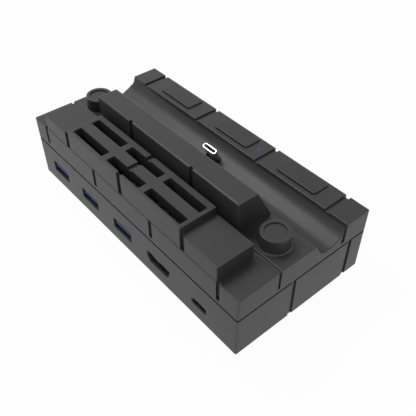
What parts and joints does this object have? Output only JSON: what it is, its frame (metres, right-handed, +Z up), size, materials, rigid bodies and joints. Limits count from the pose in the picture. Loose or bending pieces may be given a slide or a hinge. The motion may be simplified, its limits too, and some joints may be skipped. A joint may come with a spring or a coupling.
{
  "type": "handheld console dock",
  "caption": "Desktop dock for a handheld games console: box with a trough and plug, backrest bar, slotted vent block, round posts and a row of sockets.",
  "frame": {"origin": "on the desk, under the middle of the dock", "axes": "+X along the length, -Y out of the socket face, +Y towards the lip, +Z up"},
  "size_m": [0.144, 0.071, 0.0491],
  "materials": {
    "cover": "satin moulded",
    "case": "satin moulded",
    "pad": "satin moulded",
    "post": "satin moulded",
    "socket_steel": "folded sheet",
    "plug_steel": "drawn tube",
    "blue_insert": "moulded",
    "black_insert": "moulded",
    "circuit_board": "lacquered laminate",
    "chip": "moulded",
    "thermal_pad": "soft",
    "spreader": "stamped",
    "coil": "ferrite",
    "capacitor": "drawn can",
    "led": "clear",
    "light_guide": "clear moulded",
    "ribbon": "film",
    "screw": "zinc plated",
    "foot": "matt"
  },
  "bodies": {
    "root": {"upper_cover": "cover", "lower_case": "case", "lip_pad_left": "pad", "lip_pad_centre": "pad", "lip_pad_right": "pad", "post_left": "post", "post_right": "post", "data_shell_left": "socket_steel", "data_shell_middle": "socket_steel", "data_shell_right": "socket_steel", "data_tongue_left": "blue_insert", "data_tongue_middle": "blue_insert", "data_tongue_right": "blue_insert", "video_shell": "socket_steel", "video_tongue": "black_insert", "inlet_shell": "socket_steel", "inlet_tongue": "black_insert", "plug_shell": "plug_steel", "plug_core": "black_insert", "plug_base": "black_insert", "plug_board": "circuit_board", "plug_board_screws": "screw", "ribbon_sockets": "black_insert", "ribbon": "ribbon", "main_board": "circuit_board", "board_screws": "screw", "case_screws": "screw", "hub_chip": "chip", "display_chip": "chip", "power_chip": "chip", "thermal_pads": "thermal_pad", "heat_spreader": "spreader", "coils": "coil", "capacitors": "capacitor", "status_led": "led", "light_guide": "light_guide", "foot_left_back": "foot", "foot_left_front": "foot", "foot_right_back": "foot", "foot_right_front": "foot"}
  },
  "joints": []
}
